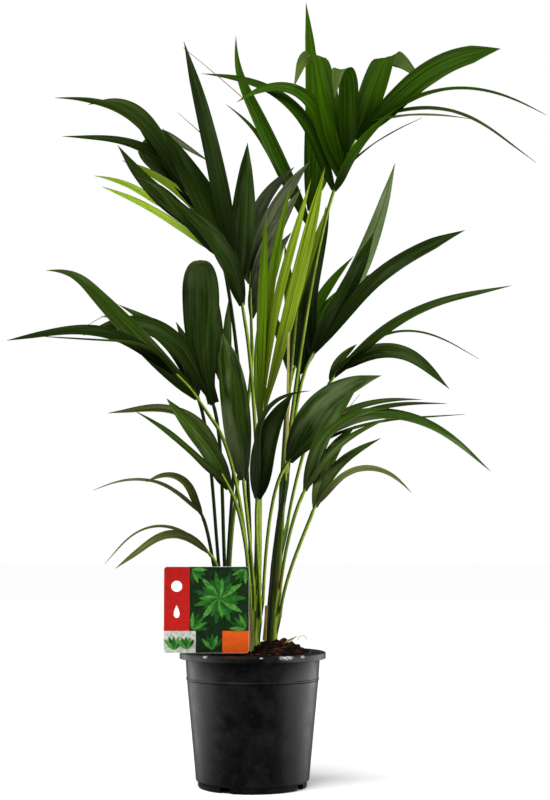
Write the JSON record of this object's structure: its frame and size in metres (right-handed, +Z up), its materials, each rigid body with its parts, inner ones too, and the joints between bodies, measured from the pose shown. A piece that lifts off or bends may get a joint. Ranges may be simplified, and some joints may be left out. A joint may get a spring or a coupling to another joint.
{
  "type": "potted palm",
  "caption": "Young potted feather palm: arching fronds of long pointed leaflets on slender stalks from short stems, in a round nursery pot of soil with a plain care card.",
  "frame": {"origin": "centre of the pot's flat underside", "axes": "+Z up the plant, +X to the right and -Y to the front, as seen from the side with the care card"},
  "size_m": [0.6861, 0.5802, 1.0827],
  "materials": {
    "pot_plastic": "satin moulded plastic",
    "peat_soil": "damp crumbly peat",
    "card_print": "printed plastic card with a satin coat",
    "green_stem": "smooth living stem with papery edges",
    "fibre_stem": "brown fibrous sheath",
    "green_stalk": "smooth waxy leaf stalk",
    "dry_fibre": "dry dead stalk",
    "leaf_green": "satin ribbed leaf",
    "leaf_dark": "satin ribbed leaf, dark",
    "leaf_new": "pleated young leaf, light green"
  },
  "bodies": {
    "root": {"pot": "pot_plastic", "soil": "peat_soil", "plant_card": "card_print", "stem_left": "green_stem", "stem_right": "fibre_stem", "stem_rear": "green_stem", "dry_stalk": "dry_fibre", "cut_stub": "dry_fibre", "stalk_top_right": "green_stalk", "frond_top_right": "leaf_green", "stalk_top_rear": "green_stalk", "frond_top_rear": "leaf_green", "stalk_upper_left": "green_stalk", "frond_upper_left": "leaf_green", "stalk_upper_centre": "green_stalk", "frond_upper_centre": "leaf_green", "stalk_rear_centre": "green_stalk", "frond_rear_centre": "leaf_green", "stalk_middle_left": "green_stalk", "frond_middle_left": "leaf_green", "stalk_middle_left_rear": "green_stalk", "frond_middle_left_rear": "leaf_green", "stalk_broad_left": "green_stalk", "frond_broad_left": "leaf_green", "stalk_broad_centre": "green_stalk", "frond_broad_centre": "leaf_green", "stalk_low_left": "green_stalk", "frond_low_left": "leaf_green", "stalk_small_left": "green_stalk", "frond_small_left": "leaf_green", "stalk_lowest_left": "green_stalk", "frond_lowest_left": "leaf_green", "stalk_centre_new": "green_stalk", "frond_centre_new": "leaf_new", "stalk_right": "green_stalk", "frond_right": "leaf_dark", "stalk_right_rear": "green_stalk", "frond_right_rear": "leaf_dark", "stalk_middle_right": "green_stalk", "frond_middle_right": "leaf_green", "stalk_low_right": "green_stalk", "frond_low_right": "leaf_green", "stalk_lower_right": "green_stalk", "frond_lower_right": "leaf_green", "stalk_lowest_right": "green_stalk", "frond_lowest_right": "leaf_green", "stalk_low_centre": "green_stalk", "frond_low_centre": "leaf_dark", "stalk_rear_left": "green_stalk", "frond_rear_left": "leaf_green", "stalk_rear_right": "green_stalk", "frond_rear_right": "leaf_green"}
  },
  "joints": []
}
